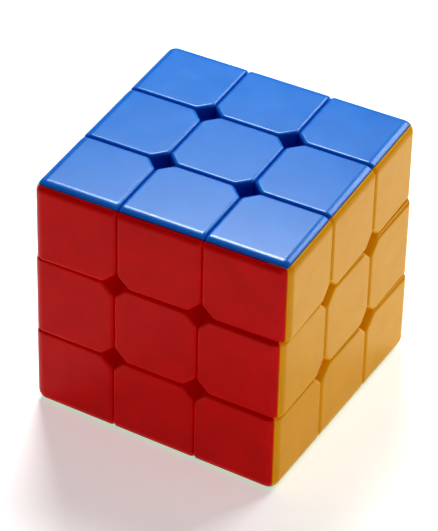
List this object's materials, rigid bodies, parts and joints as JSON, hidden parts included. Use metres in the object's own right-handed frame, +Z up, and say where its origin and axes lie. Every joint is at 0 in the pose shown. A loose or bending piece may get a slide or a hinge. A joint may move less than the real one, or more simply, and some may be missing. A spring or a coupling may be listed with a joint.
{
  "type": "twisty puzzle cube",
  "caption": "Stickerless three-layer twisty puzzle cube with rounded pieces, diamond-shaped gaps where pieces meet, and a spring-tensioned core.",
  "frame": {"origin": "centre of the core, where the turning axes of all the faces meet, which is also the centre of the whole cube", "axes": "+Z up through the blue face, -Y through the red face, +X through the yellow face; each axis is the turning axis of two opposite layers"},
  "size_m": [0.0572, 0.0572, 0.056],
  "materials": {
    "blue_plastic": "moulded in colour, satin gloss with a fine texture",
    "green_plastic": "moulded in colour, satin gloss with a fine texture",
    "red_plastic": "moulded in colour, satin gloss with a fine texture",
    "orange_plastic": "moulded in colour, satin gloss with a fine texture",
    "white_plastic": "moulded in colour, satin gloss with a fine texture",
    "yellow_plastic": "moulded in colour, satin gloss with a fine texture",
    "core_plastic": "moulded nylon, unpainted",
    "screw_steel": "zinc-plated",
    "spring_steel": "drawn spring wire"
  },
  "bodies": {
    "middle_layer": {"core": "core_plastic", "screw_top": "screw_steel", "screw_bottom": "screw_steel", "screw_front": "screw_steel", "spring_front": "spring_steel", "centre_base_front": "red_plastic", "screw_back": "screw_steel", "spring_back": "spring_steel", "centre_base_back": "orange_plastic", "screw_left": "screw_steel", "spring_left": "spring_steel", "centre_base_left": "white_plastic", "screw_right": "screw_steel", "spring_right": "spring_steel", "centre_base_right": "yellow_plastic", "edge_right_front_right_half": "yellow_plastic", "edge_right_front_front_half": "red_plastic", "edge_right_back_right_half": "yellow_plastic", "edge_right_back_back_half": "orange_plastic", "edge_left_front_left_half": "white_plastic", "edge_left_front_front_half": "red_plastic", "edge_left_back_left_half": "white_plastic", "edge_left_back_back_half": "orange_plastic"},
    "top_layer": {"spring_top": "spring_steel", "centre_base_top": "blue_plastic", "edge_top_front_top_half": "blue_plastic", "edge_top_front_front_half": "red_plastic", "edge_top_right_top_half": "blue_plastic", "edge_top_right_right_half": "yellow_plastic", "edge_top_back_top_half": "blue_plastic", "edge_top_back_back_half": "orange_plastic", "edge_top_left_top_half": "blue_plastic", "edge_top_left_left_half": "white_plastic", "corner_top_front_right": "blue_plastic", "corner_top_front_left": "blue_plastic", "corner_top_back_right": "blue_plastic", "corner_top_back_left": "blue_plastic"},
    "bottom_layer": {"spring_bottom": "spring_steel", "centre_base_bottom": "green_plastic", "edge_bottom_front_bottom_half": "green_plastic", "edge_bottom_front_front_half": "red_plastic", "edge_bottom_right_bottom_half": "green_plastic", "edge_bottom_right_right_half": "yellow_plastic", "edge_bottom_back_bottom_half": "green_plastic", "edge_bottom_back_back_half": "orange_plastic", "edge_bottom_left_bottom_half": "green_plastic", "edge_bottom_left_left_half": "white_plastic", "corner_bottom_front_right": "green_plastic", "corner_bottom_front_left": "green_plastic", "corner_bottom_back_right": "green_plastic", "corner_bottom_back_left": "green_plastic"},
    "cap_top": {"centre_cap_top": "blue_plastic"},
    "cap_bottom": {"centre_cap_bottom": "green_plastic"},
    "cap_front": {"centre_cap_front": "red_plastic"},
    "cap_back": {"centre_cap_back": "orange_plastic"},
    "cap_left": {"centre_cap_left": "white_plastic"},
    "cap_right": {"centre_cap_right": "yellow_plastic"}
  },
  "joints": [
    {"name": "top_layer_turn", "type": "hinge", "parent": "middle_layer", "child": "top_layer", "pos_m": [0, 0, 0], "axis": [0, 0, 1], "continuous": true},
    {"name": "bottom_layer_turn", "type": "hinge", "parent": "middle_layer", "child": "bottom_layer", "pos_m": [0, 0, 0], "axis": [0, 0, 1], "continuous": true},
    {"name": "cap_top_pull", "type": "slide", "parent": "top_layer", "child": "cap_top", "axis": [0, 0, 1], "range_m": [0, 0.0037]},
    {"name": "cap_bottom_pull", "type": "slide", "parent": "bottom_layer", "child": "cap_bottom", "axis": [0, 0, -1], "range_m": [0, 0.0037]},
    {"name": "cap_front_pull", "type": "slide", "parent": "middle_layer", "child": "cap_front", "axis": [0, -1, 0], "range_m": [0, 0.0037]},
    {"name": "cap_back_pull", "type": "slide", "parent": "middle_layer", "child": "cap_back", "axis": [0, 1, 0], "range_m": [0, 0.0037]},
    {"name": "cap_left_pull", "type": "slide", "parent": "middle_layer", "child": "cap_left", "axis": [-1, 0, 0], "range_m": [0, 0.0037]},
    {"name": "cap_right_pull", "type": "slide", "parent": "middle_layer", "child": "cap_right", "axis": [1, 0, 0], "range_m": [0, 0.0037]}
  ]
}
